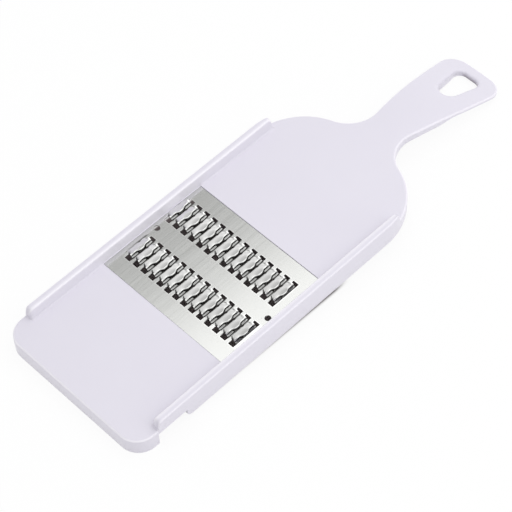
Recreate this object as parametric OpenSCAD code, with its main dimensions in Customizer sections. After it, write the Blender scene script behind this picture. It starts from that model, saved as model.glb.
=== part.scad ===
// Hand shredder for julienne vegetables. A moulded paddle has two side rails, a skirt
// with notches that hook on a bowl's rim, and a drooping handle with a hanging hole.
// A punched sheet of stainless steel lies in the deck, under two rows of raised teeth.
// X runs across, Y from the front edge to the handle, and Z is up. Millimetres.

/* [Deck] */
// Width over both rails
board_w = 94; // [86:1:110]
// Front edge to where the shoulders start to curve in
deck_len = 169.5; // [160:0.5:200]
// Thickness of the moulded top
skin = 2.5; // [2:0.1:3.2]
// Thickness of the skirt and of the wall round the hanging hole
wall = 2.2; // [1.6:0.1:3]
// Radius of the two front corners, seen from above
corner_r = 11; // [6:1:16]
// Radius of the shoulders, seen from above
shoulder_r = 36; // [24:0.5:38]

/* [Skirt] */
// Depth of the front wall and its foot, below the deck's top
foot_depth = 10.2; // [9:0.1:13]
// Length of the foot along each side
foot_len = 14; // [12:0.5:20]
// Length of the notch that hooks on a bowl's rim
notch_len = 18.4; // [12:0.1:26]
// Depth of the side skirt behind the notch
skirt_front = 8.8; // [7:0.1:9]
// Depth of the side skirt at the shoulders
skirt_back = 8.1; // [6:0.1:9]

/* [Rails] */
// Height of the rails above the deck
rail_h = 6.1; // [4:0.1:9]
// Width of a rail on top
rail_w = 3.9; // [3:0.1:6]
// How much wider a rail is at its foot
rail_draft = 0.7; // [0.3:0.1:1.5]
// Radius of a rail's long edges
rail_edge_r = 0.9; // [0.4:0.1:1.4]
// Front edge to the rails' front ends
rail_start = 14.3; // [10:0.1:24]
// Length of the rails
rail_len = 165.9; // [150:0.1:175]

/* [Handle] */
// Front edge to the end of the handle
board_len = 291; // [280:0.5:310]
// Width of the neck
neck_w = 22.6; // [18:0.2:28]
// Radius of the hollow curve between shoulder and neck
neck_r = 18; // [14:1:26]
// Angle at which the handle's sides leave the neck
flare = 10; // [7:0.5:13]
// Radius of the long bowed sides of the handle
side_r = 500; // [300:10:700]
// Radius of the handle's end corners
end_r = 10; // [6:0.5:12]
// Angle at which the handle droops below the deck
droop = 15.7; // [8:0.1:17]
// Radius of the long bend over the neck and half of the handle
bend_r = 218; // [120:1:240]
// Front edge to the start of the bend
bend_start = 200; // [195:1:212]
// Depth of the handle's rim at the neck
rim_neck = 5.2; // [4:0.1:7]
// Depth of the handle's rim at its end
rim_end = 3; // [2.8:0.1:6]

/* [Hanging hole] */
// Length of the hole along the handle
hole_len = 22.6; // [18:0.1:26]
// Width of the hole at its wide end
hole_w = 15; // [13:0.2:20]
// Radius of the end near the neck
hole_tip_r = 5.6; // [4:0.1:6.4]
// Radius of the two corners near the handle's end
hole_corner_r = 4.5; // [2:0.5:5]
// Material between the hole and the handle's end
hole_rim = 8; // [5:0.5:9]

/* [Plate] */
// Thickness of the steel sheet
sheet = 0.5; // [0.4:0.1:0.8]
// Length of the plate along the board
plate_len = 66; // [60:1:76]
// Front edge to the plate's front edge
plate_start = 60.8; // [50:0.2:66]
// How far the plate runs into the groove under each rail
grip = 1.2; // [0.6:0.1:2]
// How far the plate lies below the deck's top
recess = 0.3; // [0.1:0.1:0.6]
// Gap between the plate and the moulding around it
plate_gap = 0.1; // [0.05:0.05:0.3]
// Width of the ledge that carries the plate's front and back edges
ledge = 2.5; // [1.5:0.1:4]
// Diameter of the two locating holes
locating_d = 3.3; // [2:0.1:4]
// Distance from each rail to the middle of its locating hole
locating_inset = 3.1; // [2.5:0.1:5]

/* [Teeth] */
// Teeth in each row
tooth_count = 14; // [8:1:14]
// Strip of flat plate that the two rows leave free beside the rails
row_margin = 1.9; // [1.8:0.1:6]
// How far the rows stand to the left of the middle
row_offset = 1.7; // [0:0.1:1.7]
// How far the rows stand behind the plate's middle
row_behind = 0.4; // [0:0.1:1]
// Length of a slot, with the openings at both ends of its tooth
slot_len = 18.1; // [14:0.1:20]
// Length of the opening in front of a tooth
front_mouth = 2.6; // [1.8:0.1:3.4]
// Length of the opening behind a tooth
back_mouth = 2; // [1.4:0.1:3]
// Width of the flat land between two openings
land = 2; // [1.4:0.1:2.2]
// Narrowest gap between a tooth and the next one
tooth_gap = 0.5; // [0.4:0.1:0.8]
// How much narrower a tooth is at its ends than in its middle
tooth_waist = 1; // [0.6:0.1:1.3]
// Height of a tooth above the plate
tooth_h = 2; // [1.4:0.1:2.4]
// Distance between the middles of the two rows
row_gap = 29.4; // [26:0.2:32]

/* [Ribs] */
// Thickness of the ribs under the deck
rib = 1.6; // [1.2:0.1:2.4]
// Depth of the ribs below the moulded top
rib_depth = 3.5; // [2:0.1:5]

/* [Hidden] */
$fn = 48;
// Steps in which an arc of the outline or of the bend is drawn.
steps = 10;
// Overlap of a cut past the face that it opens.
past = 1;
half_w = board_w / 2;
neck_half = neck_w / 2;

// Points of an arc, from angle a0 to angle a1.
function arc(c, r, a0, a1, n = steps) =
    [for (i = [0:n]) let (a = a0 + (a1 - a0) * i / n) c + r * [cos(a), sin(a)]];
function reversed(list) = [for (i = [len(list) - 1:-1:0]) list[i]];
function mirrored(list) = [for (p = reversed(list)) [-p.x, p.y]];

// Seen from above, each side is a chain of tangent arcs: the front corner, the shoulder,
// the hollow of the neck, the bowed side of the handle and its end corner.
corner_c = [half_w - corner_r, corner_r];
shoulder_c = [half_w - shoulder_r, deck_len];
neck_reach = neck_half + neck_r - shoulder_c.x;
neck_c = [neck_half + neck_r, deck_len + sqrt(pow(shoulder_r + neck_r, 2) - pow(neck_reach, 2))];
shoulder_end = atan2(neck_c.y - shoulder_c.y, neck_c.x - shoulder_c.x);
side_c = neck_c - (neck_r + side_r) * [cos(flare), -sin(flare)];
end_dy = board_len - end_r - side_c.y;
end_c = [side_c.x + sqrt(pow(side_r - end_r, 2) - pow(end_dy, 2)), board_len - end_r];
side_end = atan2(end_c.y - side_c.y, end_c.x - side_c.x);
function side_points(inset) = concat(
    arc(corner_c, corner_r - inset, -90, 0),
    arc(shoulder_c, shoulder_r - inset, 0, shoulder_end),
    arc(neck_c, neck_r + inset, shoulder_end + 180, 180 - flare),
    arc(side_c, side_r - inset, -flare, side_end, 4),
    arc(end_c, end_r - inset, side_end, 90));
module outline(inset = 0) {
    points = side_points(inset);
    polygon(concat(points, mirrored(points)));
}

// Seen from the side, the top is level over the deck, bends down from the neck to the
// middle of the handle and then runs straight. Each line here is that top, lowered
// square to itself.
bend_c = [bend_start, -bend_r];
along = [cos(droop), -sin(droop)];
function top_line(down) =
    let (bend = arc(bend_c, bend_r - down, 90, 90 - droop))
    concat([[-past, -down]], bend, [bend[steps] + board_len * along]);
function handle_top(y) =
    let (s = bend_c + bend_r * [sin(droop), cos(droop)]) s.y - (y - s.x) * tan(droop);
// Height of the top at a point on the deck or in the bend, where handle_top gives it
// for the straight part.
function arc_top(y) = sqrt(pow(bend_r, 2) - pow(max(y - bend_start, 0), 2)) - bend_r;
// The depth of the handle's rim changes evenly from the neck to the end.
function rim(y) = rim_neck + (rim_end - rim_neck) * (y - neck_c.y) / (board_len - neck_c.y);
rim_bend = [for (p = arc(bend_c, bend_r, 90, 90 - droop)) if (p.x > neck_c.y + past) p - [0, rim(p.x)]];
end_bottom = [board_len, handle_top(board_len) - rim_end];
beyond = board_len + past;
// The board rests on its foot and on the end of the handle, so the ground is this slope.
rest_slope = (-end_bottom.y - foot_depth) / board_len;
rest_angle = atan(rest_slope);
function ground(y) = -foot_depth - y * rest_slope;
notch_end = foot_len + notch_len;
module side_view() {
    polygon(concat(
        [for (p = top_line(0)) if (p.x < board_len) p],
        [[beyond, handle_top(beyond)], [beyond, handle_top(beyond) - rim(beyond)]],
        reversed(rim_bend), [[neck_c.y, arc_top(neck_c.y) - rim_neck]],
        [[deck_len, -skirt_back], [notch_end, -skirt_front], [notch_end, -skin]],
        [[foot_len, -skin], [foot_len, ground(foot_len)], [-past, ground(-past)]]));
}
module band(down_from, down_to) {
    polygon(concat(top_line(down_from), reversed(top_line(down_to))));
}
module below(down) {
    top = top_line(down);
    polygon(concat(top, [[top[len(top) - 1].x, -board_w - past], [-past, -board_w - past]]));
}
// Turns a drawing of the side view into a slab across the whole board.
module across(width = board_w + 2 * past) {
    rotate([90, 0, 90]) linear_extrude(width, center = true) children();
}
// Turns a drawing of the plan into a block as deep as the whole board.
module upright() {
    translate([0, 0, -board_w]) linear_extrude(board_w + rail_h + past) children();
}

// The moulding is the plan cut to the side view, hollow below a skin of even thickness.
module shell() {
    difference() {
        intersection() {
            upright() outline();
            across() side_view();
        }
        intersection() {
            upright() outline(wall);
            across() below(skin);
        }
    }
}

// A rail's section has rounded long edges and a drafted inner face with a soft root.
rail_foot = half_w - rail_w - rail_draft;
rail_root_r = 1.2;
module rail_section() {
    r = rail_edge_r;
    polygon(concat(
        [[half_w, -skin / 2]],
        arc([half_w - r, rail_h - r], r, 0, 90, 5),
        arc([half_w - rail_w + r, rail_h - r], r, 90, 180, 5),
        arc([rail_foot - rail_root_r, rail_root_r], rail_root_r, 0, -90, 5),
        [[rail_foot - rail_root_r, -skin / 2]]));
}
// The rails' front ends stand nearly upright, and their far ends run down in a slope.
rail_front_lean = 0.9;
rail_back_lean = 3;
rail_end_r = 1.6;
module rail_side() {
    rail_end = rail_start + rail_len;
    top = rail_h - rail_end_r;
    polygon(concat(
        [[rail_start, -skin / 2], [rail_start, 0]],
        arc([rail_start + rail_front_lean + rail_end_r, top], rail_end_r, 180, 90, 5),
        arc([rail_end - rail_back_lean - rail_end_r, top], rail_end_r, 90, 25, 5),
        [[rail_end, 0], [rail_end, -skin / 2]]));
}
module rails() {
    intersection() {
        union() for (side = [0, 1]) mirror([side, 0, 0])
            rotate([90, 0, 0]) translate([0, 0, -board_len]) linear_extrude(board_len) rail_section();
        across() rail_side();
        upright() outline();
    }
}

// The hanging hole is a rounded wedge, wide near the end of the handle.
hole_end = board_len - hole_rim;
module hanging_hole(grow = 0) {
    tip = [0, hole_end - hole_len + hole_tip_r];
    far = [hole_w / 2 - hole_corner_r, hole_end - hole_corner_r];
    chord = far - tip;
    turn = atan2(chord.y, chord.x) - acos((hole_tip_r - hole_corner_r) / norm(chord));
    points = concat(
        arc(tip, hole_tip_r + grow, -84, turn),
        arc(far, hole_corner_r + grow, turn, 90));
    polygon(concat(points, mirrored(points)));
}

// Ribs stand under the moulded top: one before and one behind the window, and a spine
// that runs from there through the neck to the wall round the hanging hole.
window_start = plate_start + ledge;
window_end = plate_start + plate_len - ledge;
module ribs() {
    intersection() {
        upright() {
            for (y = [window_start - rib, window_end])
                translate([wall / 2 - half_w, y]) square([board_w - wall, rib]);
            translate([-rib / 2, window_end + rib / 2])
                square([rib, hole_end - hole_len - wall / 2 - window_end - rib / 2]);
        }
        across() band(skin / 2, skin + rib_depth);
        across() side_view();
    }
}
module hole_wall() {
    intersection() {
        upright() hanging_hole(wall);
        across() side_view();
    }
}

// The plate lies in a pocket: its sides run into grooves under the rails, and its front
// and back edges lie on ledges round an open window.
plate_half = rail_foot + grip;
plate_top = -recess;
module plate_seat() {
    room = plate_gap;
    translate([-plate_half - room, plate_start - room, plate_top - sheet - room])
        cube([2 * (plate_half + room), plate_len + 2 * room, sheet + 2 * room]);
    translate([-rail_foot, plate_start - room, plate_top - sheet])
        cube([2 * rail_foot, plate_len + 2 * room, board_w]);
    translate([-rail_foot + plate_gap, window_start, -skin - past])
        cube([2 * (rail_foot - plate_gap), window_end - window_start, skin + past]);
}

// Sets the board on its foot and the end of its handle, with the ground at zero.
rest_mid = (board_len * cos(rest_angle) - end_bottom.y * sin(rest_angle)) / 2;
module at_rest() {
    translate([0, -rest_mid, foot_depth * cos(rest_angle)])
        rotate([rest_angle, 0, 0]) children();
}

module board() {
    color([0.89, 0.88, 0.92]) at_rest() difference() {
        union() {
            shell();
            rails();
            ribs();
            hole_wall();
        }
        plate_seat();
        upright() hanging_hole();
    }
}

// A tooth is the strip between two slots. Its left edge stays at the plate's level, and
// from there it rises steeply to a crest and slopes down to a raised, free cutting edge
// that swells out over the slot. Both its ends are open. The rows stand half a tooth apart
// from each other. Each row is what the sections of its teeth share with their plan, and
// the same shape, lowered by the sheet's thickness, hollows it.
stagger = 0.5;
pitch = 2 * (rail_foot - row_margin) / (tooth_count + stagger);
row_len = tooth_count * pitch;
function row_start(side) = -row_len / 2 - side * stagger * pitch / 2 - row_offset;
tooth_len = slot_len - front_mouth - back_mouth;
tooth_start = front_mouth - slot_len / 2;
tooth_w = pitch - tooth_gap;
// Distances from a tooth's left edge to the start and the end of its crest.
crest = [1.7, 2.9];
// Height of the free cutting edge, as a share of the tooth's height.
edge_h = 0.72;
// The left part of a tooth runs down to the land at both ends, and laps into it.
ramp = 1.4;
lap = 0.2;
module row_sections(drop = 0) {
    edge = tooth_w + tooth_gap / 2;
    teeth = [for (i = [0:tooth_count - 1]) each [
        [i * pitch, -drop], [i * pitch + crest[0], tooth_h - drop], [i * pitch + crest[1], tooth_h - drop],
        [i * pitch + edge, edge_h * tooth_h - drop], [i * pitch + edge, -drop - past / 2]]];
    polygon(concat(teeth, [[row_len, -drop - past], [0, -drop - past]]));
}
module row_teeth(drop = 0) {
    intersection() {
        translate([0, tooth_start + tooth_len / 2]) rotate([90, 0, 0])
            linear_extrude(tooth_len + 2 * lap, center = true) row_sections(drop);
        union() {
            rotate([90, 0, 90]) linear_extrude(row_len) translate([tooth_start, -drop]) polygon([
                [-lap, -past], [-lap, 0], [0, 0], [ramp, tooth_h],
                [tooth_len - ramp, tooth_h], [tooth_len, 0], [tooth_len + lap, 0],
                [tooth_len + lap, -past]]);
            translate([0, 0, -sheet - past]) linear_extrude(tooth_h + sheet + 2 * past) row_plan(land, past);
        }
        translate([0, 0, -sheet]) linear_extrude(tooth_h + sheet + past) row_plan(0, lap);
    }
}
// Seen from above, the teeth from a given line to their free edges.
module row_plan(from, more = 0) {
    ends = [tooth_start - more, tooth_start + tooth_len + more];
    mid = tooth_start + tooth_len / 2;
    for (i = [0:tooth_count - 1]) translate([i * pitch, 0]) polygon([
        [from, ends[0]], [tooth_w - tooth_waist, ends[0]], [tooth_w - tooth_waist, mid - tooth_len / 4],
        [tooth_w, mid - tooth_len / 10], [tooth_w, mid + tooth_len / 10],
        [tooth_w - tooth_waist, mid + tooth_len / 4], [tooth_w - tooth_waist, ends[1]], [from, ends[1]]]);
}
module row() {
    difference() {
        row_teeth();
        row_teeth(sheet);
    }
}
module row_cut() {
    translate([0, tooth_start]) square([row_len, tooth_len]);
    for (i = [0:tooth_count - 1]) translate([i * pitch + land, 0]) {
        translate([0, -slot_len / 2]) square([pitch - land, front_mouth + past]);
        translate([0, slot_len / 2 - back_mouth - past]) square([pitch - land, back_mouth + past]);
    }
}
module shredding_plate() {
    middle = plate_start + plate_len / 2;
    color([0.78, 0.79, 0.78]) at_rest() translate([0, middle, plate_top]) {
        difference() {
            translate([0, 0, -sheet]) linear_extrude(sheet) difference() {
                square([2 * plate_half, plate_len], center = true);
                for (side = [-1, 1])
                    translate([row_start(side), row_behind + side * row_gap / 2]) row_cut();
            }
            for (side = [-1, 1])
                translate([side * (rail_foot - locating_inset), 0, -sheet - past])
                    cylinder(h = sheet + 2 * past, d = locating_d);
        }
        for (side = [-1, 1])
            translate([row_start(side), row_behind + side * row_gap / 2, 0]) row();
    }
}

board();
shredding_plate();
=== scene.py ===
import bmesh
import bpy
import numpy as np
from mathutils import Matrix


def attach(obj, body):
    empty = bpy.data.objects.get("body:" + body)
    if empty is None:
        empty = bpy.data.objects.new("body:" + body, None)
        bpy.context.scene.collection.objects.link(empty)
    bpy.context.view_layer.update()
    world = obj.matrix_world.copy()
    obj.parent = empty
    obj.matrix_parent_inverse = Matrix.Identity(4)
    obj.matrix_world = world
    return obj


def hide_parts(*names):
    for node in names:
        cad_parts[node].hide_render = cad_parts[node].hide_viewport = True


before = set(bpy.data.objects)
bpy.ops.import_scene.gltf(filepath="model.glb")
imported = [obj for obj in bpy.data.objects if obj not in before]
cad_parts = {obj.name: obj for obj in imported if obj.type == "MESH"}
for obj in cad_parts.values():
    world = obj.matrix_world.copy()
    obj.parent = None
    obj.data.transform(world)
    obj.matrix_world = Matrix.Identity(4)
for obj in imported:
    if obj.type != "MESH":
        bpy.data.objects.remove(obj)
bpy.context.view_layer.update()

# ---------------------------------------------------------------- the board
# The board is one injection moulding in off-white plastic. Seen from above, each side is
# a chain of tangent arcs: front corner, shoulder, neck, bowed handle side, end corner.
# All sizes are in millimetres, from the front edge and from the top of the deck.
HALF_W, DECK_LEN, BOARD_LEN = 47.0, 169.5, 291.0
CORNER_R, SHOULDER_R, NECK_HALF, NECK_R = 11.0, 36.0, 11.3, 18.0
FLARE, SIDE_R, END_R = np.radians(10.0), 500.0, 10.0
SKIN, WALL, FOOT_DEPTH = 2.5, 2.2, 10.2
DROOP, BEND_R, BEND_START = np.radians(15.7), 218.0, 200.0
RIM_NECK, RIM_END = 5.2, 3.0

shoulder_c = np.array([HALF_W - SHOULDER_R, DECK_LEN])
neck_c = np.array([NECK_HALF + NECK_R, 0.0])
neck_c[1] = DECK_LEN + np.sqrt((SHOULDER_R + NECK_R) ** 2 - (neck_c[0] - shoulder_c[0]) ** 2)
shoulder_end = np.arctan2(neck_c[1] - shoulder_c[1], neck_c[0] - shoulder_c[0])
side_c = neck_c - (NECK_R + SIDE_R) * np.array([np.cos(FLARE), -np.sin(FLARE)])
end_y = BOARD_LEN - END_R
end_c = np.array([side_c[0] + np.sqrt((SIDE_R - END_R) ** 2 - (end_y - side_c[1]) ** 2), end_y])
side_end = np.arctan2(end_c[1] - side_c[1], end_c[0] - side_c[0])


def top_height(y):
    """Height of the handle's top at y: level, then an arc about (BEND_START, -BEND_R),
    then the arc's tangent at the droop angle."""
    y = np.asarray(y, float)
    leave = BEND_START + BEND_R * np.sin(DROOP)
    arc = np.sqrt(np.maximum(BEND_R ** 2 - np.clip(y - BEND_START, 0, leave - BEND_START) ** 2, 0)) - BEND_R
    return arc - np.maximum(y - leave, 0) * np.tan(DROOP)


def rim_low(y):
    """Height of the handle's lower edge: the rim's depth changes evenly along it."""
    return top_height(y) - np.interp(y, [neck_c[1], BOARD_LEN], [RIM_NECK, RIM_END])


END_DROP = -float(rim_low(BOARD_LEN))
REST = np.arctan((END_DROP - FOOT_DEPTH) / BOARD_LEN)
REST_MID = (BOARD_LEN * np.cos(REST) + END_DROP * np.sin(REST)) / 2


def at_rest(points):
    """Turns points by the rest angle about X, lifts the foot to the ground and centres
    them along Y, then gives them in metres."""
    x, y, z = np.moveaxis(np.asarray(points, float), -1, 0)
    c, s = np.cos(REST), np.sin(REST)
    return np.stack([x, y * c - z * s - REST_MID, y * s + z * c + FOOT_DEPTH * c], -1) / 1000


# The top has rails with soft edges, an open window for the plate, and a hanging hole with
# a broad rounded rim. A skirt runs all round, cut away at each side to hook on a bowl.
RAIL_H, RAIL_W, RAIL_DRAFT, RAIL_EDGE, RAIL_ROOT = 6.06, 3.9, 0.7, 0.9, 1.2
RAIL_START, RAIL_END = 14.3, 180.2
NOTCH_START, NOTCH_END, NOTCH_R = 14.0, 32.4, 3.2
SKIRT_FRONT, SKIRT_BACK = 8.8, 8.1
PLATE_START, PLATE_END = 60.8, 126.8
GAP, RECESS, SHEET, LEDGE = 0.25, 0.3, 0.5, 2.5
EDGE_DECK, EDGE_HANDLE = 1.0, 1.1
BAND_DECK, BAND_HANDLE = 6.0, 4.0
BAND_Y, EDGE_Y = (184, 212), (190, 222)
CROWN, CROWN_POWER, CROWN_Y, THICK_Y = 0.3, 2.2, (196, 225), (200, 225)
COLS = 14
CUT_Y = 250.0
EPS = 0.02


def ease(a, b, t):
    """0 before a, 1 after b, and 3u^2 - 2u^3 between them."""
    u = np.clip((np.asarray(t, float) - a) / (b - a), 0, 1)
    return u * u * (3 - 2 * u)


def arc(centre, radius, a0, a1, n, turned_out=False):
    """n + 1 points of an arc with its normals that point into the board, as (n + 1, 4)."""
    a = np.linspace(a0, a1, n + 1)
    d = np.stack([np.cos(a), np.sin(a)], -1)
    return np.hstack([np.asarray(centre) + radius * d, d if turned_out else -d])


def straight(x, y, normal):
    """Points of a straight edge with one normal, as (n, 4)."""
    x, y = np.broadcast_arrays(np.asarray(x, float), np.asarray(y, float))
    return np.stack([x, y, np.full(x.shape, normal[0]), np.full(x.shape, normal[1])], -1)


def skirt_low(y):
    """Height of the skirt's lower edge along the sides, which runs on into the handle's rim."""
    deck = np.interp(y, [NOTCH_END, DECK_LEN, neck_c[1]], [-SKIRT_FRONT, -SKIRT_BACK, rim_low(neck_c[1])])
    return np.where(y > neck_c[1], rim_low(y), deck)


# Where the section changes suddenly, stations stand close together.
rail_front_y = RAIL_START + np.array([-1.0, -0.5, -0.15, 0.0, 0.12, 0.35, 0.6, 0.8, 1.0, 1.3, 1.7, 2.2, 3.0])
rail_front_h = np.array([0.0, 0.01, 0.035, 0.08, 0.22, 0.46, 0.66, 0.78, 0.86, 0.925, 0.968, 0.992, 1.0])
rail_back_y = RAIL_END - np.array([3.6, 3.0, 2.5, 2.1, 1.75, 1.4, 1.1, 0.85, 0.6, 0.35, 0.1, -0.2, -0.6])
rail_back_h = np.array([1.0, 0.995, 0.975, 0.935, 0.87, 0.785, 0.67, 0.52, 0.35, 0.17, 0.07, 0.015, 0.0])


def step_stations(y):
    """Six stations close round a sudden change of the section at y."""
    return [y - 0.6, y - 0.25, y - EPS, y + EPS, y + 0.25, y + 0.6]


side_y = np.unique(np.round(np.concatenate([
    np.linspace(CORNER_R, DECK_LEN, 65)[1:-1], rail_front_y,
    step_stations(NOTCH_START), step_stations(NOTCH_END),
    NOTCH_END + NOTCH_R * np.array([0.03, 0.12, 0.45, 0.7, 1.0]),
    step_stations(PLATE_START - GAP), step_stations(PLATE_END + GAP)]), 3))
back_a = np.arcsin((rail_back_y[rail_back_y > DECK_LEN] - DECK_LEN) / SHOULDER_R)
shoulder_a = np.unique(np.concatenate([np.linspace(0, shoulder_end, 34), back_a]))
shoulder_d = np.stack([np.cos(shoulder_a), np.sin(shoulder_a)], -1)
half = np.vstack([
    straight(np.linspace(0, HALF_W - CORNER_R, COLS + 1)[:-1], 0, (0, 1)),
    arc((HALF_W - CORNER_R, CORNER_R), CORNER_R, -np.pi / 2, 0, 16),
    straight(HALF_W, side_y, (-1, 0)),
    np.hstack([shoulder_c + SHOULDER_R * shoulder_d, -shoulder_d]),
    arc(neck_c, NECK_R, shoulder_end + np.pi, np.pi - FLARE, 26, True)[1:],
    arc(side_c, SIDE_R, -FLARE, side_end, 34)[1:],
    arc(end_c, END_R, side_end, np.pi / 2, 18)[1:],
    straight(np.linspace(end_c[0], 0, COLS + 1)[1:], BOARD_LEN, (0, -1))])
place, inward = half[:, :2], half[:, 2:]
count = len(half)
py = place[:, 1]
on_side = (np.arange(count) >= COLS) & (np.arange(count) < count - COLS)

band = BAND_DECK + (BAND_HANDLE - BAND_DECK) * ease(*BAND_Y, py)
edge_r = EDGE_DECK + (EDGE_HANDLE - EDGE_DECK) * ease(*EDGE_Y, py)
rail = np.where(py < 100, np.interp(py, rail_front_y, rail_front_h), np.interp(py, rail_back_y, rail_back_h))
window = (py > PLATE_START - GAP) & (py < PLATE_END + GAP) & on_side
bottom = skirt_low(py)
notch_turn = np.clip((py - NOTCH_END) / NOTCH_R, 0, 1)
notch_low = -SKIRT_FRONT + NOTCH_R * (1 - np.sqrt(notch_turn * (2 - notch_turn)))
bottom = np.where(py > NOTCH_END, np.maximum(bottom, notch_low), bottom)
foot_z = -FOOT_DEPTH - py * np.tan(REST)
bottom = np.where(py < NOTCH_START, foot_z, bottom)
bottom = np.where((py > NOTCH_START) & (py < NOTCH_END), -SKIN, bottom)


def crown(x, y):
    """How far the handle's top falls away from its middle: CROWN times a power of the
    share of the half width, growing from nothing at the shoulders."""
    w = np.interp(y, py[on_side], place[on_side, 0])
    return CROWN * ease(*CROWN_Y, y) * np.clip(np.abs(x) / w, 0, 1) ** CROWN_POWER


# The hanging hole: a rounded wedge of three arcs, with its outward normals.
HOLE_END, HOLE_LEN, HOLE_HALF, TIP_R, HOLE_R = 283.9, 22.6, 7.5, 5.6, 4.5
HOLE_EDGE = 2.0
tip = np.array([0, HOLE_END - HOLE_LEN + TIP_R])
far = np.array([HOLE_HALF - HOLE_R, HOLE_END - HOLE_R])
chord = far - tip
turn = np.arctan2(chord[1], chord[0]) - np.arccos((TIP_R - HOLE_R) / np.hypot(*chord))


def hole_side(n_tip, n_side, n_far, n_end):
    """The right half of the hanging hole, with normals: an arc round the tip, a straight
    tangent, an arc round the far corner and a straight end."""
    a = np.linspace(-np.pi / 2, turn, n_tip + 1)
    b = np.linspace(turn, np.pi / 2, n_far + 1)
    da, db = np.stack([np.cos(a), np.sin(a)], -1), np.stack([np.cos(b), np.sin(b)], -1)
    pa, pb = tip + TIP_R * da, far + HOLE_R * db
    t = np.linspace(0, 1, n_side + 1)[1:-1, None]
    mid = pa[-1] * (1 - t) + pb[0] * t
    e = np.linspace(1, 0, n_end + 1)[1:, None]
    end = np.hstack([far[0] * e, np.full_like(e, HOLE_END)])
    points = np.vstack([pa, mid, pb, end])
    normals = np.vstack([da, np.repeat(da[-1:], len(mid), 0), db, np.repeat([[0, 1.0]], len(end), 0)])
    return points, normals


dense, dense_n = hole_side(60, 40, 40, 20)
ring_xy = np.vstack([dense, (dense * [-1, 1])[::-1][1:-1]])
ring_n = np.vstack([dense_n, (dense_n * [-1, 1])[::-1][1:-1]])
HOLE_MID = np.array([0, 273.5])


def hole_fall(x, y):
    """How far the top rounds down towards the hanging hole: a quarter circle of radius
    HOLE_EDGE in the distance from the hole's outline."""
    shape = np.shape(x)
    q = np.stack([np.ravel(x), np.ravel(y)], -1)
    close = q[:, 1] > CUT_Y
    d = np.full(len(q), HOLE_EDGE)
    if close.any():
        d[close] = np.sqrt(((q[close, None, :] - ring_xy[None]) ** 2).sum(-1)).min(1)
    d = np.clip(d, 0, HOLE_EDGE)
    return (HOLE_EDGE - np.sqrt(np.maximum(HOLE_EDGE ** 2 - (HOLE_EDGE - d) ** 2, 0))).reshape(shape)


def surface(x, y):
    """Height of the top: the handle's curve less the crown and the fall to the hole."""
    return top_height(y) - crown(x, y) - hole_fall(x, y)


def quarter(n):
    """A quarter circle of radius 1 in n steps: 1 - cos a along, sin a up."""
    a = np.linspace(0.0, np.pi / 2, n + 1)
    return 1 - np.cos(a), np.sin(a)


# The top's section at each station, from the outer wall inwards: distances in from the
# outline and heights over the top, once with the rail and once without.
dx, dz = quarter(5)
rail_d = np.concatenate([RAIL_EDGE * dx, RAIL_EDGE + (RAIL_W - 2 * RAIL_EDGE) * np.array([0.33, 0.67]),
                         RAIL_W - RAIL_EDGE * dx[::-1], RAIL_W + RAIL_DRAFT * np.array([0.25, 0.55, 0.8])])
rail_z = np.concatenate([RAIL_H - RAIL_EDGE * (1 - dz), [RAIL_H, RAIL_H], RAIL_H - RAIL_EDGE * (1 - dz[::-1]),
                         RAIL_EDGE + (RAIL_H - 2 * RAIL_EDGE) * np.array([0.75, 0.45, 0.2])])
foot_w = RAIL_W + RAIL_DRAFT
root_d = np.concatenate([foot_w + RAIL_ROOT * dx, [0.0]])
root_z = np.concatenate([RAIL_ROOT * (1 - dz), [0.0]])
shelf_d = foot_w + np.array([0.0, 0.02, 0.06, 0.12, 0.3, 0.4, 0.42])
shelf_z = np.array([0.5, 0.3, 0.16, 0.1, 0.08, 0.0, -RECESS - 0.2])
n_top = len(rail_d) + len(root_d)
n_flat = n_top - len(dx)


def top_section(i):
    """One station's top: (n_top, 2) distances inwards and heights over the surface."""
    r, b, h = edge_r[i], band[i], rail[i]
    flat_d = np.concatenate([r * dx, r + (b - r) * np.linspace(0, 1, n_flat + 1)[1:]])
    flat_z = np.concatenate([-r * (1 - dz), np.zeros(n_flat)])
    trim = max(HALF_W - place[i, 0], 0) if 100 < py[i] < 190 else 0
    if window[i]:
        tall_d, tall_z = np.concatenate([rail_d, shelf_d]), np.concatenate([rail_z, shelf_z])
    else:
        inner = root_d.copy()
        inner[-1] = b
        tall_d, tall_z = np.concatenate([rail_d, inner]), np.concatenate([rail_z, root_z])
        tall_d = np.where(tall_d > 1.5, np.minimum(tall_d - trim * (tall_d < b), b), tall_d)
    return np.stack([h * tall_d + (1 - h) * flat_d, h * tall_z + (1 - h) * flat_z], -1)


ROOT_R, ROOT_SHARE, RIM_R, RIM_SHARE = 1.0, 0.4, 0.5, 0.45


def under_section(i):
    """One station's underside: from the inner edge of the band out to the wall, down it,
    round the rim and up to the outer face, with quarter circles at the wall's root and rim,
    which are smaller where the skirt is shallow. Heights are absolute."""
    b = shelf_d[-1] if window[i] else band[i]
    ceiling = float(top_height(py[i])) - SKIN + CROWN * ease(*THICK_Y, py[i])
    low = min(bottom[i], ceiling - EPS)
    deep = ceiling - low
    root, rim = min(ROOT_R, deep * ROOT_SHARE), min(RIM_R, deep * RIM_SHARE)
    qx, qz = quarter(3)
    d = np.concatenate([[b], WALL + root - root * qz, WALL - rim * qx, rim * (1 - qz)])
    z = np.concatenate([[ceiling], ceiling - root * qx, low + rim * (1 - qz), low + rim * qx])
    return np.stack([d, z], -1)


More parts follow.
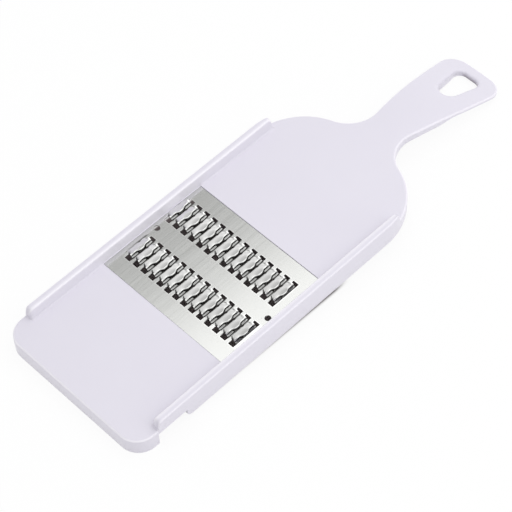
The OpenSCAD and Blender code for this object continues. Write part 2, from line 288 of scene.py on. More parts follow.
sections, unders = [top_section(i) for i in range(count)], [under_section(i) for i in range(count)]
top_d = np.array([s[:, 0] for s in sections])
top_h = np.array([s[:, 1] for s in sections])
under = np.array(unders)
top_xy = place[:, None] + inward[:, None] * top_d[..., None]
under_xy = place[:, None] + inward[:, None] * under[..., :1]
under[:, 0, 1] += top_height(under_xy[:, 0, 1]) - top_height(py)
top_z = surface(top_xy[..., 0], top_xy[..., 1]) + top_h
outer_xy = np.repeat(place[:, None], 3, 1)
wall_t = np.array([0.3, 0.6, 0.85])
wall_z = under[:, -1:, 1] * (1 - wall_t) + top_z[:, :1] * wall_t
loop = np.concatenate([
    np.concatenate([under_xy, under[..., 1:]], -1),
    np.concatenate([outer_xy, wall_z[..., None]], -1),
    np.concatenate([top_xy, top_z[..., None]], -1)], 1)
n_loop = loop.shape[1]
left = loop[::-1][1:-1] * [-1, 1, 1]
ring = np.concatenate([loop, left], 0)
# Share of painted highlight at each point of a station: full in the middle of the top's
# outer fillet and, where there is a rail, of its inner fillet, fading down its inner face.
worn = np.zeros(loop.shape[:2])
bow = np.array([0.0, 0.5, 1.0, 1.0, 0.5, 0.0])
first = n_loop - n_top
worn[:, first:first + 6] = bow * (0.6 + 0.4 * ease(14, 5, py))[:, None]
rail_light = np.array([0.3, 0.7, 1, 1, 0.9, 0.7, 0.5, 0.4, 0.4, 0.4, 0.3, 0.2, 0.05])
worn[:, first + 7:first + 20] = rail_light * rail[:, None]
ring_painted_light = np.concatenate([worn, worn[::-1][1:-1]], 0)


def grid_quads(rows, cols, start=0, wrap=False, keep=None):
    """Corner numbers of the quads of a grid of rows by cols points."""
    index = start + np.arange(rows * cols).reshape(rows, cols)
    if wrap:
        index = np.vstack([index, index[:1]])
    q = np.stack([index[:-1, :-1], index[1:, :-1], index[1:, 1:], index[:-1, 1:]], -1)
    return (q if keep is None else q[keep]).reshape(-1, 4)


verts, quads, total = [], [], 0


def add_grid(points, wrap=False):
    """Adds a grid of points and its quads to the board."""
    global total
    rows, cols = points.shape[:2]
    quads.append(grid_quads(rows, cols, total, wrap))
    verts.append(points.reshape(-1, 3))
    total += rows * cols


add_grid(ring, True)


def across(q, z):
    """Rows of points from the left edge to the right one, at shares -1 to 1 of q's x."""
    share = np.linspace(-1, 1, 2 * COLS + 1)
    x = q[:, :1] * share
    y = np.repeat(q[:, 1:2], x.shape[1], 1)
    return np.stack([x, y, z(x, y)], -1)


top_in, under_in = top_xy[:, -1], under_xy[:, 0]
# The window's sides, under the edges of the plate.
jamb = np.stack([loop[window, -1], loop[window, 0]], 1)
add_grid(jamb)
add_grid(jamb * [-1, 1, 1])
ceiling_z = under[:, 0, 1]
iy = np.arange(count)
start_rows = (iy >= COLS) & (py < PLATE_START - GAP) & on_side
back_rows = (py > PLATE_END + GAP) & (top_in[:, 1] < CUT_Y) & on_side
ledge_half = HALF_W - foot_w + 0.3


LIP, SEAT_GAP = 0.12, 0.05


def window_fold(y, step):
    """The window's edge seen from the side: down from the deck, out along the ledge that
    the plate lies on, and down to the underside."""
    seat = -RECESS - SHEET - SEAT_GAP
    lip_y = y + step * (LEDGE + GAP)
    return np.array([[y, -LIP], [y, seat], [lip_y, seat], [lip_y, -SKIN]])


def fold_rows(y, step):
    """The window's edge carried across the board, at shares -1 to 1 of half the ledge."""
    path = window_fold(y, step)
    share = np.linspace(-1, 1, 2 * COLS + 1)
    x = np.repeat((ledge_half * share)[None], len(path), 0)
    return np.stack([x, np.repeat(path[:, :1], x.shape[1], 1), np.repeat(path[:, 1:], x.shape[1], 1)], -1)


def flat_under(rows):
    """The underside across the board at the given stations, level with its edges."""
    return across(under_in[rows], lambda x, y: np.repeat(ceiling_z[rows][:, None], x.shape[1], 1))


front_top = across(top_in[start_rows], surface)
front_under = flat_under(start_rows)[::-1]
add_grid(np.concatenate([front_top, fold_rows(PLATE_START - GAP, 1), front_under], 0))
back_top = across(top_in[back_rows], surface)
back_under = flat_under(back_rows)[::-1]
add_grid(np.concatenate([back_under, fold_rows(PLATE_END + GAP, -1)[::-1], back_top], 0))

# The handle's end: quads run from the band's inner edge and from the last row across the
# neck to the hanging hole, round its rim and down its wall.
last = np.where(back_rows)[0][-1]
tail = np.arange(last, count)


def tail_loop(inner, row):
    """A closed loop round the handle's end: up the right side, down the left one, and
    straight back across the neck."""
    right = inner[tail]
    left_side = (right * [-1, 1])[::-1][1:]
    share = np.linspace(-1, 1, 2 * COLS + 1)[1:-1]
    cut = np.stack([row[0] * share, np.full(len(share), row[1])], -1)
    return np.vstack([right, left_side, cut])


outer_loop = tail_loop(top_in, top_in[last])
outer_under = tail_loop(under_in, under_in[last])
spoke = np.arctan2(*(outer_loop - HOLE_MID).T[::-1])
ring_a = np.arctan2(*(ring_xy - HOLE_MID).T[::-1])
order = np.argsort(ring_a)
wrap_a = np.concatenate([ring_a[order] - 2 * np.pi, ring_a[order], ring_a[order] + 2 * np.pi])
hole_xy = np.stack([np.interp(spoke, wrap_a, np.tile(ring_xy[order, k], 3)) for k in (0, 1)], -1)
hole_n = np.stack([np.interp(spoke, wrap_a, np.tile(ring_n[order, k], 3)) for k in (0, 1)], -1)
hole_n /= np.linalg.norm(hole_n, axis=1, keepdims=True)
far_t = np.linspace(0, 1, 7)[:, None, None]
flat_rim = hole_xy + hole_n * HOLE_EDGE * 1.02
inner_t = np.array([0.8, 0.6, 0.42, 0.28, 0.16, 0.07, 0.02])[:, None, None]
top_plan = np.concatenate([outer_loop * (1 - far_t) + flat_rim * far_t,
                           hole_xy + hole_n * HOLE_EDGE * inner_t], 0)
top_loft = np.concatenate([top_plan, surface(top_plan[..., 0], top_plan[..., 1])[..., None]], -1)
COLLAR_DEPTH, OFF_GROUND = 3.0, 0.3
ground = -FOOT_DEPTH - hole_xy[:, 1] * np.tan(REST)
hole_low = np.maximum(rim_low(hole_xy[:, 1]) - COLLAR_DEPTH, ground + OFF_GROUND)
brim = top_height(hole_xy[:, 1]) - crown(hole_xy[:, 0], hole_xy[:, 1])
# The hole's wall: down from the rounded rim, over a small step, round the collar's foot
# and up its outer side to the underside of the skin.
STEP_IN, STEP_TOP, STEP_LOW = 0.35, 0.5, 0.6
FOOT_IN, FOOT_R, COLLAR_ROOT = 0.6, 0.3, 0.6
edge_low = brim - HOLE_EDGE
wall_path = [(0.0, edge_low), (0.0, edge_low - STEP_TOP), (STEP_IN, edge_low - STEP_LOW),
             (STEP_IN, hole_low + FOOT_R), (FOOT_IN, hole_low), (WALL - FOOT_R, hole_low),
             (WALL, hole_low + FOOT_R), (WALL, brim - SKIN - COLLAR_ROOT),
             (WALL + COLLAR_ROOT, brim - SKIN + CROWN)]
wall_rows = np.stack([np.concatenate([hole_xy + hole_n * d, z[:, None]], -1) for d, z in wall_path], 0)
under_t = np.linspace(0, 1, 5)[1:, None, None]
collar_foot = hole_xy + hole_n * (WALL + COLLAR_ROOT)
under_plan = collar_foot * (1 - under_t) + outer_under * under_t
under_plan_z = (wall_rows[-1, :, 2] * (1 - under_t[..., 0])
                + (top_height(outer_under[:, 1]) - SKIN + CROWN) * under_t[..., 0])
under_loft = np.concatenate([under_plan, under_plan_z[..., None]], -1)
loft = np.concatenate([top_loft, wall_rows, under_loft], 0)
tail_first = total
add_grid(np.swapaxes(loft, 0, 1), True)
# Painted shade darkens the far wall of the hanging hole, and a painted highlight lightens its near side.
hole_painted_shade = np.zeros(loft.shape[:2])
FAR_WALL_Y, FAR_WALL_X, FAR_PAINTED_SHADE, NEAR_PAINTED_LIGHT = (276, 282), (-7, -3), 1.0, 0.5
far_wall = ease(*FAR_WALL_Y, hole_xy[:, 1]) * ease(*FAR_WALL_X, hole_xy[:, 0])
wall_painted_shade = np.array([0.1, 0.2, 0.4, 0.55, 0.65, 0.9, 0.9, 0.6])
hole_painted_shade[len(top_loft) + np.arange(-2, 6)] = wall_painted_shade[:, None] * ((FAR_PAINTED_SHADE + NEAR_PAINTED_LIGHT) * far_wall - NEAR_PAINTED_LIGHT)


def make_piece(name, points, faces, weld=2e-5, sharp=35, marks=None, fill=0):
    """A mesh object in metres with its doubles merged, gaps of up to fill edges closed,
    its faces turned outwards and edges over the given angle kept sharp."""
    mesh = bpy.data.meshes.new(name)
    mesh.from_pydata(points.tolist(), [], faces.tolist())
    for key, value in (marks or {}).items():
        mesh.attributes.new(key, "FLOAT", "POINT").data.foreach_set("value", value)
    work = bmesh.new()
    work.from_mesh(mesh)
    bmesh.ops.remove_doubles(work, verts=work.verts, dist=weld)
    bmesh.ops.dissolve_degenerate(work, edges=work.edges, dist=1e-6)
    if fill:
        bmesh.ops.holes_fill(work, edges=work.edges, sides=fill)
    bmesh.ops.recalc_face_normals(work, faces=work.faces)
    work.to_mesh(mesh)
    work.free()
    mesh.polygons.foreach_set("use_smooth", np.ones(len(mesh.polygons), bool))
    mesh.set_sharp_from_angle(angle=np.radians(sharp))
    piece = bpy.data.objects.new(name, mesh)
    bpy.context.scene.collection.objects.link(piece)
    return piece


# Ribs stiffen the deck from below: one before and one behind the window, and a spine from
# there through the neck to the hanging hole.
RIB, RIB_DEPTH, RIB_ROUND, INTO_SKIN = 1.6, 3.5, 0.4, 0.6


def add_rib(path, along):
    """A closed bar of width RIB whose middle follows a path of (x, y) points, from inside
    the moulded top down to RIB_DEPTH below it, with its two lower edges rounded."""
    path = np.asarray(path, float)
    across_path = np.array([-along[1], along[0]])
    edge_out = np.array([-0.5, -0.5, -0.3, 0.3, 0.5, 0.5]) * RIB
    side = [-INTO_SKIN, RIB_DEPTH - RIB_ROUND, RIB_DEPTH]
    rib_low = -SKIN - np.array(side + side[::-1])
    plan = path[:, None] + edge_out[None, :, None] * across_path
    z = np.maximum(top_height(path[:, 1])[:, None] + rib_low, skirt_low(path[:, 1])[:, None])
    tube = np.concatenate([plan, z[..., None]], -1)
    add_grid(np.concatenate([tube, tube[:, :1]], 1))
    for row in (tube[0], tube[-1]):
        add_grid(np.stack([row[:3], row[:2:-1]], 0))


half_rib = HALF_W - WALL / 2
for rib_y in (PLATE_START + LEDGE - RIB / 2, PLATE_END - LEDGE + RIB / 2):
    add_rib([(-half_rib, rib_y), (half_rib, rib_y)], (1, 0))
spine_y = np.linspace(PLATE_END - LEDGE + RIB / 2, HOLE_END - HOLE_LEN - WALL / 2, 60)
add_rib(np.stack([0 * spine_y, spine_y], -1), (0, 1))

board_points = np.concatenate(verts)
# One mark per point for painted light: positive is a painted highlight, negative painted shade.
painted_light_per_point = np.zeros(len(board_points))
painted_light_per_point[:ring_painted_light.size] = ring_painted_light.ravel()
painted_light_per_point[tail_first:tail_first + hole_painted_shade.size] = -hole_painted_shade.T.ravel()
WIDEST_GAP = 9
board = make_piece("moulded_board", at_rest(board_points), np.concatenate(quads),
                   marks={"worn": painted_light_per_point}, fill=WIDEST_GAP)
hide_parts("board")
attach(board, "root")


class Socket:
    """A shader value that takes Python arithmetic: each operator adds its Math node."""

    def __init__(self, tree, link):
        self.tree, self.link = tree, link

    def node(self, kind, settings=None, inputs=None, out=0):
        """Adds a node of a kind: its settings first, then the values or links of its
        sockets. Gives one of its outputs."""
        made = self.tree.nodes.new(kind)
        for key, value in (settings or {}).items():
            if key == "stops":
                ramp = made.color_ramp
                while len(ramp.elements) < len(value):
                    ramp.elements.new(0.5)
                for element, (position, colour) in zip(ramp.elements, value):
                    element.position, element.color = position, (*colour, 1)
            else:
                setattr(made, key, value)
        for key, value in (inputs or {}).items():
            if isinstance(value, Socket):
                self.tree.links.new(value.link, made.inputs[key])
            else:
                made.inputs[key].default_value = value
        return Socket(self.tree, made.outputs[out])

    def blend_of(self, share, first_colour, second_colour):
        """A mix of two colours by a share from 0 to 1."""
        return self.node("ShaderNodeMix", {"data_type": "RGBA"},
                         {0: share, 6: first_colour, 7: second_colour}, out=2)

    def math(self, operation, a, b=0.0):
        """A Math node's result for two values."""
        return self.node("ShaderNodeMath", {"operation": operation}, {0: a, 1: b})

    def __add__(self, other):
        return self.math("ADD", self, other)

    def __sub__(self, other):
        return self.math("SUBTRACT", self, other)

    def __mul__(self, other):
        return self.math("MULTIPLY", self, other)

    __radd__, __rmul__ = __add__, __mul__

    def __rsub__(self, other):
        return self.math("SUBTRACT", other, self)


def new_material(name, constants):
    """A Principled material with its constants set, its output, and the object's own
    coordinates as a Socket."""
    material = bpy.data.materials.new(name)
    material.use_nodes = True
    tree = material.node_tree
    shader = tree.nodes["Principled BSDF"]
    for key, value in constants.items():
        shader.inputs[key].default_value = value
    coords = tree.nodes.new("ShaderNodeTexCoord")
    return material, tree, shader, Socket(tree, coords.outputs["Object"])


# The plastic is satin, with a faint cloudy tint and a very fine grain. Painted highlights
# make the rounded edges and the rails' inner sides lighter, and painted shade makes the far
# wall of the hanging hole darker, with a painted highlight on its near side.
IVORY, IVORY_PALE = (0.728, 0.704, 0.788, 1), (0.758, 0.736, 0.816, 1)
PAINTED_HIGHLIGHT_IVORY, HOLE_SHADE = (0.90, 0.88, 0.94, 1), (0.26, 0.22, 0.27, 1)
plastic, tree, shader, where = new_material("ivory_moulding", {"Roughness": 0.3, "IOR": 1.5})
cloud = where.node("ShaderNodeTexNoise", inputs={"Vector": where, "Scale": 28.0, "Detail": 3.0})
grain = where.node("ShaderNodeTexNoise", inputs={"Vector": where, "Scale": 2600.0, "Detail": 2.0})
painted_light_share = where.node("ShaderNodeAttribute", {"attribute_name": "worn"}, out=2)
tint = where.blend_of(cloud, IVORY, IVORY_PALE)
# Painted highlight where the mark is above 0, painted shade where it is below.
tint = where.blend_of(painted_light_share, tint, PAINTED_HIGHLIGHT_IVORY)
tint = where.blend_of(-1.0 * painted_light_share, tint, HOLE_SHADE)
tree.links.new(tint.link, shader.inputs["Base Color"])
tree.links.new((0.25 + 0.08 * cloud + 0.03 * grain).link, shader.inputs["Roughness"])
bump = where.node("ShaderNodeBump", inputs={"Strength": 0.25, "Distance": 0.00002, "Height": grain})
tree.links.new(bump.link, shader.inputs["Normal"])
board.data.materials.append(plastic)

# ---------------------------------------------------------------- the shredding plate
# Stainless sheet, punched with two rows of slots. The strip between two slots is pressed
# up into a ridge with open, sharpened ends, and its edges shred what is drawn over it.
TEETH, STAGGER, ROW_MARGIN, ROW_GAP, SLOT_LEN, LAND = 14, 0.5, 1.9, 29.4, 18.1, 2.0
FRONT_MOUTH, BACK_MOUTH, ROW_OFFSET, ROW_BEHIND = 2.6, 2.0, 1.7, 0.4
GRIP, LOCATING_INSET, LOCATING_R, RIM = 1.2, 3.5, 1.65, 0.5
TOOTH_H = 1.5
rail_foot = HALF_W - RAIL_W - RAIL_DRAFT
PITCH = 2 * (rail_foot - ROW_MARGIN) / (TEETH + STAGGER)
BODY = (SLOT_LEN - FRONT_MOUTH - BACK_MOUTH) / 2
BODY_Y = (FRONT_MOUTH - BACK_MOUTH) / 2
plate_half, plate_mid = rail_foot + GRIP, (PLATE_START + PLATE_END) / 2
row_starts = [(-TEETH * PITCH / 2 - side * STAGGER * PITCH / 2 - ROW_OFFSET,
               plate_mid + ROW_BEHIND + side * ROW_GAP / 2) for side in (-1, 1)]

# A tooth's stations along its length. Its free edge swells in the middle and a lip dips
# beside it, and towards its two ends it turns into one steep rise and a long slope.
reach = np.array([6.95, 6.8, 6.3, 5.7, 5.0, 4.2, 3.4, 2.7, 2.1, 1.5, 0.9, 0.3])
tooth_y = np.concatenate([-reach, reach[::-1]]) * BODY / reach[0]
EDGE_X, EDGE_SWELL, LIP_X = 4.1, 1.0, 4.85
NOTCH_DEPTH, NOTCH_AT, NOTCH_SPREAD = 0.45, 2.4, 0.7
away = np.abs(tooth_y)
edge_x = EDGE_X + EDGE_SWELL * (1 - ease(0.8, 3.4, away))
lens = ease(1.0, 2.6, away)
lip_x = edge_x + 0.1 + (LIP_X - edge_x) * lens
end = ease(5.0, BODY, away)
notch = NOTCH_DEPTH * np.exp(-((tooth_y - NOTCH_AT) / NOTCH_SPREAD) ** 2)
tear = ease(4.4, 6.6, -tooth_y)
front_half = ease(0.5, -0.5, tooth_y)


def mixed(middle, at_end):
    """A value that changes along the tooth, from its middle to its two ends."""
    return middle * (1 - end) + at_end * end


def torn(shade):
    """Painted shade that darkens to 1 at the torn corner of the front mouth."""
    return shade * (1 - tear) + tear


level = 0 * tooth_y
free = mixed(0.74 - 0.1 * lens, 0.45) * TOOTH_H
free_low = free - SHEET
lip = mixed(-0.1 - 0.25 * lens, -0.1)
lip_w = lip_x - edge_x
# Painted shade on the lip, a little darker towards the front end.
inner_shade = (0.5 + 0.15 * front_half) * lens
# The section's points from left to right: place across, height, and shade, which is 1 on
# dark sheared metal, dark partly as cut-edge colour and partly as painted shade, and -1 on
# bright metal, which is a painted highlight.
tooth_section = [
    # the sheared left edge, and the strip of sheet that the tooth rises from
    (notch, level, 1.0),
    (mixed(0.17 + notch, RIM), level, 0.0),
    (mixed(0.34 + notch, LAND - RIM), mixed(0.03, 0.0) * TOOTH_H, -1.0),
    # the rise
    (mixed(0.64 + 0.6 * notch, LAND), mixed(0.36, 0.0) * TOOTH_H, torn(-1.0)),
    (mixed(1.9, 2.2) + 1.0 * tear, mixed(0.60, 0.85) * TOOTH_H, torn(-0.9)),
    # the crest, and its roll down to the free edge
    (mixed(2.9, 2.45) + 1.0 * tear, mixed(0.80, 1.0) * TOOTH_H, -0.85),
    (mixed(edge_x - 0.42, 3.0) + 0.6 * tear, mixed(1.0, 0.85) * TOOTH_H, -0.6),
    (edge_x - 0.22, mixed(0.94, 0.62) * TOOTH_H, 0.1),
    (edge_x - 0.05, mixed(0.82, 0.5) * TOOTH_H, 0.0),
    # the sheared free edge
    (edge_x, free, 1.0),
    (edge_x + 0.05, free_low, 1.0),
    # the lip beside it
    (edge_x + 0.3 * lip_w, free_low * 0.55 + lip * 0.45, inner_shade),
    (edge_x + 0.65 * lip_w, free_low * 0.15 + lip * 0.85, inner_shade * 0.75),
    (lip_x, lip - 0.1, 1.0)]
tooth_x = np.stack([x for x, z, shade in tooth_section], -1)
tooth_z = np.stack([z for x, z, shade in tooth_section], -1)
n_t, n_x = tooth_x.shape
top_side = np.stack([tooth_x, np.repeat(tooth_y[:, None], n_x, 1), tooth_z], -1)
low_side = top_side - [0, 0, SHEET]
shell = np.concatenate([top_side, low_side[:, ::-1]], 1)
n_round = 2 * n_x
left_edge = np.arange(n_t) * n_round
left_wall = np.stack([left_edge[:-1] + n_round - 1, left_edge[1:] + n_round - 1,
                      left_edge[1:], left_edge[:-1]], -1)
tooth_faces = np.vstack([grid_quads(n_t, n_round), left_wall])
# The open mouths' sheet edges, from the first point that leaves the sheet.
FIRST_FREE = 3
for row in (0, n_t - 1):
    upper = row * n_round + np.arange(FIRST_FREE, n_x - 1)
    lower = row * n_round + n_round - 1 - np.arange(FIRST_FREE, n_x - 1)
    tooth_faces = np.vstack([tooth_faces, np.stack([upper, upper + 1, lower - 1, lower], -1)])
cut_and_painted_light = np.zeros((n_t, n_round))
cut_and_painted_light[:, :n_x] = np.stack([level + shade for x, z, shade in tooth_section], -1)
# The last tooth of a row has no tooth beside it to shade its lip, so painted shade darkens the lip
# throughout.
LAST_PAINTED_SHADE = 0.75
last_cut_and_painted_light = cut_and_painted_light.copy()
last_cut_and_painted_light[:, 10:n_x] = np.maximum(last_cut_and_painted_light[:, 10:n_x], LAST_PAINTED_SHADE)

# The flat sheet: a lattice of cells between every edge of every opening, less the cells
# that are openings or teeth.
xs = {-plate_half, plate_half}
ys = {PLATE_START, PLATE_END}
for x0, mid in row_starts:
    xs |= {round(x0 + k * PITCH + a, 5) for k in range(TEETH) for a in (0, RIM, LAND - RIM, LAND)}
    xs |= {round(x0 + TEETH * PITCH, 5)}
    ys |= {round(mid + side * a, 5) for side in (-1, 1) for a in (SLOT_LEN / 2, SLOT_LEN / 2 + RIM)}
    ys |= {round(mid + BODY_Y + side * BODY, 5) for side in (-1, 1)}
locating = [(side * (rail_foot - LOCATING_INSET), plate_mid) for side in (-1, 1)]
PATCH_HALF = 2.2
for hx, hy in locating:
    xs |= {round(hx - PATCH_HALF, 5), round(hx + PATCH_HALF, 5)}
    ys |= {hy - PATCH_HALF, hy + PATCH_HALF}
xs, ys = np.array(sorted(xs)), np.array(sorted(ys))
cx, cy = np.meshgrid((xs[1:] + xs[:-1]) / 2, (ys[1:] + ys[:-1]) / 2, indexing="ij")
open_cell = np.zeros(cx.shape, bool)
tooth_cell = np.zeros(cx.shape, bool)
for x0, mid in row_starts:
    inside = (cx > x0) & (cx < x0 + TEETH * PITCH)
    u, v = np.mod(cx - x0, PITCH), np.abs(cy - mid - BODY_Y)
    open_cell |= inside & (u > LAND) & (np.abs(cy - mid) < SLOT_LEN / 2) & (v > BODY)
    tooth_cell |= inside & (v < BODY)
for hx, hy in locating:
    tooth_cell |= (np.abs(cx - hx) < PATCH_HALF) & (np.abs(cy - hy) < PATCH_HALF)
solid = ~(open_cell | tooth_cell)
nx, ny = solid.shape
number = np.arange((nx + 1) * (ny + 1)).reshape(nx + 1, ny + 1)
gx, gy = np.meshgrid(xs, ys, indexing="ij")
flat_top = np.stack([gx, gy, 0 * gx], -1).reshape(-1, 3)
lattice = np.vstack([flat_top, flat_top - [0, 0, SHEET]])
low_start = len(flat_top)
corners = [number[:-1, :-1][solid], number[1:, :-1][solid], number[1:, 1:][solid], number[:-1, 1:][solid]]
sheet_faces = [np.stack(corners, -1), np.stack(corners, -1)[:, ::-1] + low_start]
padded = np.pad(solid, 1)
touch = np.pad(tooth_cell, 1)
for step_x, step_y, (one, two) in ((1, 0, (1, 2)), (-1, 0, (3, 0)), (0, 1, (2, 3)), (0, -1, (0, 1))):
    next_to = padded[1 + step_x:nx + 1 + step_x, 1 + step_y:ny + 1 + step_y]
    joined = touch[1 + step_x:nx + 1 + step_x, 1 + step_y:ny + 1 + step_y]
    # A tooth's free edge leaves the sheet, so the sheet keeps its wall to the right of it.
    if step_x == -1:
        joined = np.zeros_like(joined)
    bare = (solid & ~next_to & ~joined)[solid]
    first_end, second_end = corners[one][bare], corners[two][bare]
    sheet_faces.append(np.stack([first_end, second_end, second_end + low_start, first_end + low_start], -1))
open_pad = np.pad(open_cell, 1)
by_hole = open_pad[1:, 1:] | open_pad[:-1, 1:] | open_pad[1:, :-1] | open_pad[:-1, :-1]
# Painted highlight on the sheet's rims beside the openings.
rim_painted_highlight = np.concatenate([by_hole.reshape(-1), 0 * by_hole.reshape(-1)]) * -1.0
all_points, all_faces, all_cut_and_painted_light = [lattice], [np.vstack(sheet_faces)], [rim_painted_highlight]
plate_total = len(lattice)
for x0, mid in row_starts:
    for k in range(TEETH):
        all_points.append(shell.reshape(-1, 3) + [x0 + k * PITCH, mid + BODY_Y, 0])
        all_faces.append(tooth_faces + plate_total)
        all_cut_and_painted_light.append((last_cut_and_painted_light if k == TEETH - 1 else cut_and_painted_light).reshape(-1))
        plate_total += n_t * n_round
# Round each locating hole, a patch of sheet from a square to the circle.
PATCH_SIDES, HOLE_ROUND = 40, 0.06
turns = np.linspace(-np.pi, np.pi, PATCH_SIDES + 1)[:-1] + np.pi / PATCH_SIDES
unit = np.stack([np.cos(turns), np.sin(turns)], -1)
square = unit / np.abs(unit).max(1, keepdims=True) * PATCH_HALF
patch_drop = np.array([0, 0, -HOLE_ROUND, -SHEET, -SHEET])
for hx, hy in locating:
    rim = unit * LOCATING_R
    plan = np.stack([square, unit * (LOCATING_R + HOLE_ROUND), rim, rim, square], 0) + [hx, hy]
    patch = np.concatenate([plan, (patch_drop[:, None] * np.ones(PATCH_SIDES))[..., None]], -1)
    all_points.append(np.swapaxes(patch, 0, 1).reshape(-1, 3))
    all_faces.append(grid_quads(PATCH_SIDES, len(patch_drop), plate_total, True))
    all_cut_and_painted_light.append(np.zeros(len(patch_drop) * PATCH_SIDES))
    plate_total += len(patch_drop) * PATCH_SIDES
plate_points = np.concatenate(all_points) + [0, 0, -RECESS]
plate = make_piece("punched_steel_plate", at_rest(plate_points), np.concatenate(all_faces), 1e-6, 30,
                   {"sheared": np.concatenate(all_cut_and_painted_light)})
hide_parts("shredding_plate")
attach(plate, "root")

# The steel is rolled: fine lines run from front to back. Rims beside the openings and the
# teeth's rises carry a painted highlight, and sheared edges are nearly black, partly as
# cut-edge colour and partly as painted shade, which also darkens the lips and torn corners.
STEEL, STEEL_PALE = (0.60, 0.605, 0.59, 1), (0.69, 0.695, 0.68, 1)
PAINTED_HIGHLIGHT_STEEL, CUT_EDGE_AND_PAINTED_SHADE = (0.93, 0.93, 0.92, 1), (0.07, 0.07, 0.07, 1)
steel, tree, shader, where = new_material("rolled_steel", {"Metallic": 1.0, "Roughness": 0.24})
stretch = where.node("ShaderNodeMapping", inputs={"Vector": where, "Scale": (900.0, 14.0, 14.0)})
lines = where.node("ShaderNodeTexNoise", inputs={"Vector": stretch, "Scale": 1.0, "Detail": 4.0})
cut_and_painted_light_share = where.node("ShaderNodeAttribute", {"attribute_name": "sheared"}, out=2)
highlit_steel = where.blend_of(-0.9 * cut_and_painted_light_share, where.blend_of(lines, STEEL, STEEL_PALE), PAINTED_HIGHLIGHT_STEEL)
shaded_steel = where.blend_of(cut_and_painted_light_share, highlit_steel, CUT_EDGE_AND_PAINTED_SHADE)
tree.links.new(shaded_steel.link, shader.inputs["Base Color"])
tree.links.new((0.12 + 0.08 * lines).link, shader.inputs["Roughness"])
bump = where.node("ShaderNodeBump", inputs={"Strength": 0.15, "Distance": 0.00001, "Height": lines})
tree.links.new(bump.link, shader.inputs["Normal"])
plate.data.materials.append(steel)

# ---------------------------------------------------------------- the studio
# A pale floor with a patch of painted shade under the plate, and soft light from above and
# behind. The lens and the camera's place were solved from the board's own edges.
camera_rows = np.array([
    [0.70453889, 0.70860156, -0.03884299],
    [0.56108900, -0.58971361, -0.58087605],
    [-0.43451592, 0.38745539, -0.81306472]])
CAMERA_AT, FOCAL_PX, FRAME_PX = (439.37, -268.27, 805.41), 2022.12, 512

tilt = np.array([[1, 0, 0], [0, np.cos(REST), -np.sin(REST)], [0, np.sin(REST), np.cos(REST)]])
pose = np.eye(4)
pose[:3, :3] = tilt @ np.stack([camera_rows[0], -camera_rows[1], -camera_rows[2]], 1)
pose[:3, 3] = at_rest(CAMERA_AT)
SENSOR_MM = 36.0
optics = bpy.data.cameras.new("camera")
optics.sensor_width, optics.lens = SENSOR_MM, SENSOR_MM * FOCAL_PX / FRAME_PX
optics.clip_start, optics.clip_end = 0.05, 50.0
camera = bpy.data.objects.new("camera", optics)
camera.matrix_world = Matrix(pose.tolist())
bpy.context.scene.collection.objects.link(camera)
bpy.context.scene.camera = camera
bpy.context.scene.view_settings.view_transform = "Standard"

# The world fills the shadows and stays white behind the object. Glossy rays see a bright
# horizon that dims higher up.
FILL, SHEEN, HORIZON = 0.725, 0.58, 1.05
DIM_FROM, DIM_TO = 0.25, 0.65
world = bpy.data.worlds.new("studio")
bpy.context.scene.world = world
world.use_nodes = True
tree = world.node_tree
backdrop = tree.nodes["Background"]
backdrop.inputs["Color"].default_value = (1, 1, 1, 1)
ray_kind = tree.nodes.new("ShaderNodeLightPath")
direct = Socket(tree, ray_kind.outputs["Is Camera Ray"])
shiny = Socket(tree, ray_kind.outputs["Is Glossy Ray"])
through = Socket(tree, ray_kind.outputs["Is Transmission Ray"])
looking = Socket(tree, tree.nodes.new("ShaderNodeTexCoord").outputs["Generated"])
height = looking.node("ShaderNodeSeparateXYZ", inputs={0: looking}, out=2)
sheen = height.node("ShaderNodeMapRange", {"interpolation_type": "SMOOTHSTEP"},
                    {0: height, 1: DIM_FROM, 2: DIM_TO, 3: HORIZON, 4: SHEEN})
seen_light = FILL + (sheen - FILL) * shiny
strength = direct.math("MAXIMUM", seen_light, direct.math("MAXIMUM", direct, through))
tree.links.new(strength.link, backdrop.inputs["Strength"])

FLOOR_HALF = 6.0
floor_mesh = bpy.data.meshes.new("floor")
floor_mesh.from_pydata([(FLOOR_HALF * x, FLOOR_HALF * y, 0) for x, y in ((-1, -1), (1, -1), (1, 1), (-1, 1))],
                       [], [(0, 1, 2, 3)])
floor = bpy.data.objects.new("floor", floor_mesh)
bpy.context.scene.collection.objects.link(floor)
pale, tree, shader, where = new_material("pale_floor", {"Roughness": 0.9, "Specular IOR Level": 0.0})
floor_mesh.materials.append(pale)
# Painted shade on the floor under the plate, which makes the slots look dark: a soft-edged
# rectangle about its middle, full up to one distance and gone at another.
SHADE_MID, SHADE_FULL, SHADE_GONE = (-0.0015, -0.050), (0.0452, 0.038), (0.0472, 0.050)


def shade_along(axis):
    """1 within SHADE_FULL of the middle along one axis and 0 beyond SHADE_GONE."""
    place_on = where.node("ShaderNodeSeparateXYZ", inputs={0: where}, out=axis)
    off_middle = place_on.math("ABSOLUTE", place_on - SHADE_MID[axis])
    return off_middle.node("ShaderNodeMapRange", {"interpolation_type": "SMOOTHSTEP"},
                           {0: off_middle, 1: SHADE_FULL[axis], 2: SHADE_GONE[axis], 3: 1.0, 4: 0.0})


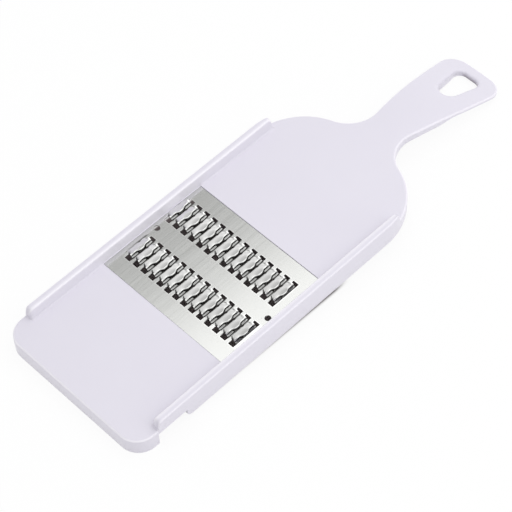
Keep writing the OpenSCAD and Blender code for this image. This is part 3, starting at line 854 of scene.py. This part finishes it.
shade = shade_along(0) * shade_along(1)
FLOOR_PALE, FLOOR_SHADE, GLOW_SHARE = (0.93, 0.93, 0.93, 1), (0.20, 0.17, 0.17, 1), 0.92
floor_tint = where.blend_of(shade, FLOOR_PALE, FLOOR_SHADE)
tree.links.new(floor_tint.link, shader.inputs["Base Color"])
rays = tree.nodes.new("ShaderNodeLightPath")
seen = Socket(tree, rays.outputs["Is Camera Ray"])
seen = seen.math("MAXIMUM", seen, Socket(tree, rays.outputs["Is Glossy Ray"]))
seen = seen.math("MAXIMUM", seen, Socket(tree, rays.outputs["Is Transmission Ray"]))
glow = seen.node("ShaderNodeEmission", inputs={"Color": (1, 1, 1, 1), "Strength": 1.0})
blend = seen.node("ShaderNodeMixShader", inputs={0: GLOW_SHARE * seen * (1 - shade)})
tree.links.new(shader.outputs[0], blend.link.node.inputs[1])
tree.links.new(glow.link, blend.link.node.inputs[2])
tree.links.new(blend.link, tree.nodes["Material Output"].inputs["Surface"])


def soft_lamp(name, at, to, size, radiance, turn=0.0):
    """A rectangular softbox at one place, facing another, of a size (x, y) in metres and
    turned round its own axis. A flat lamp of power P and area A shows a radiance of
    P / (pi A)."""
    lamp = bpy.data.lights.new(name, "AREA")
    lamp.shape, lamp.size, lamp.size_y = "RECTANGLE", *size
    lamp.energy = radiance * np.pi * size[0] * size[1]
    holder = bpy.data.objects.new(name, lamp)
    back = np.asarray(at, float) - np.asarray(to, float)
    back /= np.linalg.norm(back)
    right = np.cross((-np.sin(np.radians(turn)), np.cos(np.radians(turn)), 0.01), back)
    right /= np.linalg.norm(right)
    stand = np.eye(4)
    stand[:3, :3] = np.stack([right, np.cross(back, right), back], 1)
    stand[:3, 3] = at
    holder.matrix_world = Matrix(stand.tolist())
    bpy.context.scene.collection.objects.link(holder)


soft_lamp("overhead_softbox", at=(0.42, 0.62, 1.42), to=(0.30, 0.30, 0.0), size=(2.3, 1.7),
          radiance=1.05, turn=-16)
soft_lamp("side_softbox", at=(1.4, 0.35, 0.6), to=(0.0, 0.05, 0.02), size=(1.2, 0.9), radiance=0.42)
